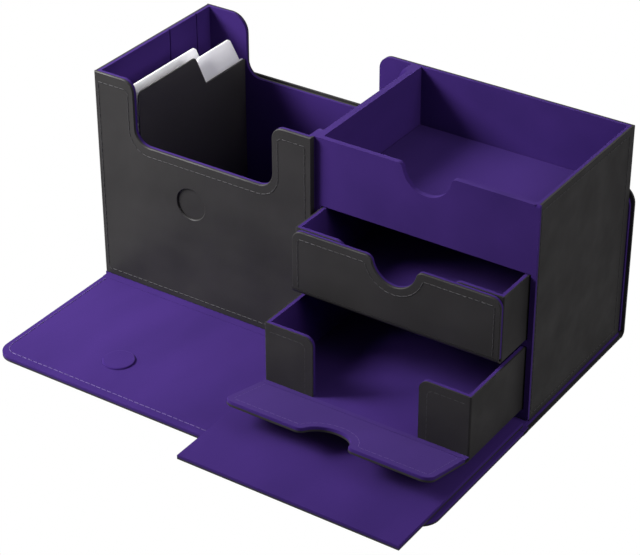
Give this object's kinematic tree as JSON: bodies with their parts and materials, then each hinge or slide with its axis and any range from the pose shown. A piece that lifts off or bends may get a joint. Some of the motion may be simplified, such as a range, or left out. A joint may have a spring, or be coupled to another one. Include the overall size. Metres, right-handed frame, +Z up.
{
  "type": "card box with drawers",
  "caption": "Leatherette card box with an open card compartment, a tray, two drawers with fold-down flaps, a fold-down door and a flat lid that it stands on.",
  "frame": {"origin": "on the resting face, below the front left corner of the box", "axes": "+X right along the front, +Y to the back, +Z up"},
  "size_m": [0.2364, 0.1971, 0.112],
  "materials": {
    "leatherette": "satin",
    "microfibre": "matt",
    "magnet": "plated",
    "divider_white": "matt",
    "divider_black": "matt"
  },
  "bodies": {
    "lid_base": {"lid_base_board": "leatherette", "lid_base_liner": "microfibre"},
    "lid_front": {"lid_front_board": "leatherette", "lid_front_liner": "microfibre", "lid_front_magnet": "magnet", "lid_front_fold": "leatherette", "lid_front_fold_liner": "microfibre"},
    "lid_rear": {"lid_rear_board": "leatherette", "lid_rear_liner": "microfibre", "lid_rear_magnet": "magnet", "lid_rear_fold": "leatherette"},
    "box": {"front_panel": "leatherette", "front_liner": "microfibre", "front_magnet": "magnet", "left_panel": "leatherette", "left_liner": "microfibre", "back_panel": "leatherette", "back_liner_left": "microfibre", "back_liner_right": "microfibre", "back_magnet": "magnet", "right_panel": "leatherette", "right_liner": "microfibre", "floor_panel": "leatherette", "floor_liner": "microfibre", "compartment_side": "microfibre", "cabinet_side": "microfibre", "cabinet_floor": "microfibre", "middle_shelf": "microfibre", "top_shelf": "microfibre", "tray_pad": "microfibre", "tray_front_board": "microfibre", "tray_front_liner": "microfibre", "tray_magnets": "magnet"},
    "door": {"door_board": "leatherette", "door_liner": "microfibre", "door_magnets": "magnet", "door_fold": "microfibre"},
    "upper_drawer": {"upper_drawer_body": "leatherette", "upper_drawer_liner": "microfibre", "upper_cheek_magnets": "magnet"},
    "upper_flap": {"upper_flap_board": "leatherette", "upper_flap_liner": "microfibre", "upper_flap_magnets": "magnet", "upper_flap_fold": "leatherette"},
    "lower_drawer": {"lower_drawer_body": "leatherette", "lower_drawer_liner": "microfibre", "lower_cheek_magnets": "magnet"},
    "lower_flap": {"lower_flap_board": "leatherette", "lower_flap_liner": "microfibre", "lower_flap_magnets": "magnet", "lower_flap_fold": "leatherette", "lower_flap_fold_liner": "microfibre"},
    "divider_1": {"divider_white_side": "divider_white"},
    "divider_2": {"divider_white_tab": "divider_white"},
    "divider_3": {"divider_black_tab": "divider_black"}
  },
  "joints": [
    {"name": "lid_rear_fold_back", "type": "hinge", "parent": "lid_base", "child": "lid_rear", "pos_m": [0.1171, 0.09192, 0.00088], "axis": [-1, 0, 0], "range_deg": [0, 90], "deforming": ["lid_rear_fold"]},
    {"name": "lid_front_fold_up", "type": "hinge", "parent": "lid_base", "child": "lid_front", "pos_m": [0.1171, -0.00192, 0.00088], "axis": [-1, 0, 0], "range_deg": [0, 2.5], "deforming": ["lid_front_fold", "lid_front_fold_liner"]},
    {"name": "box_lift", "type": "slide", "parent": "lid_base", "child": "box", "axis": [0, 0, 1], "range_m": [0, 0.08]},
    {"name": "door_fold_up", "type": "hinge", "parent": "box", "child": "door", "pos_m": [0.1781, 0.00068, 0.00338], "axis": [-1, 0, 0], "range_deg": [0, 2.5], "deforming": ["door_fold"]},
    {"name": "upper_drawer_slide", "type": "slide", "parent": "box", "child": "upper_drawer", "axis": [0, -1, 0], "range_m": [-0.0238, 0.0362]},
    {"name": "lower_drawer_slide", "type": "slide", "parent": "box", "child": "lower_drawer", "axis": [0, -1, 0], "range_m": [-0.0483, 0.0167]},
    {"name": "upper_flap_fold_down", "type": "hinge", "parent": "upper_drawer", "child": "upper_flap", "pos_m": [0.17835, -0.02055, 0.04585], "axis": [1, 0, 0], "range_deg": [0, 90], "deforming": ["upper_flap_fold"]},
    {"name": "lower_flap_fold_up", "type": "hinge", "parent": "lower_drawer", "child": "lower_flap", "pos_m": [0.17835, -0.04505, 0.00935], "axis": [-1, 0, 0], "range_deg": [-14.5, 75.5], "deforming": ["lower_flap_fold", "lower_flap_fold_liner"]},
    {"name": "divider_1_lift", "type": "slide", "parent": "box", "child": "divider_1", "axis": [0, 0, 1], "range_m": [0, 0.11]},
    {"name": "divider_2_lift", "type": "slide", "parent": "box", "child": "divider_2", "axis": [0, 0, 1], "range_m": [0, 0.11]},
    {"name": "divider_3_lift", "type": "slide", "parent": "box", "child": "divider_3", "axis": [0, 0, 1], "range_m": [0, 0.11]}
  ],
  "couplings": [
    {"joint": "lid_front_fold_up", "follows": "door_fold_up", "ratio": 1}
  ]
}
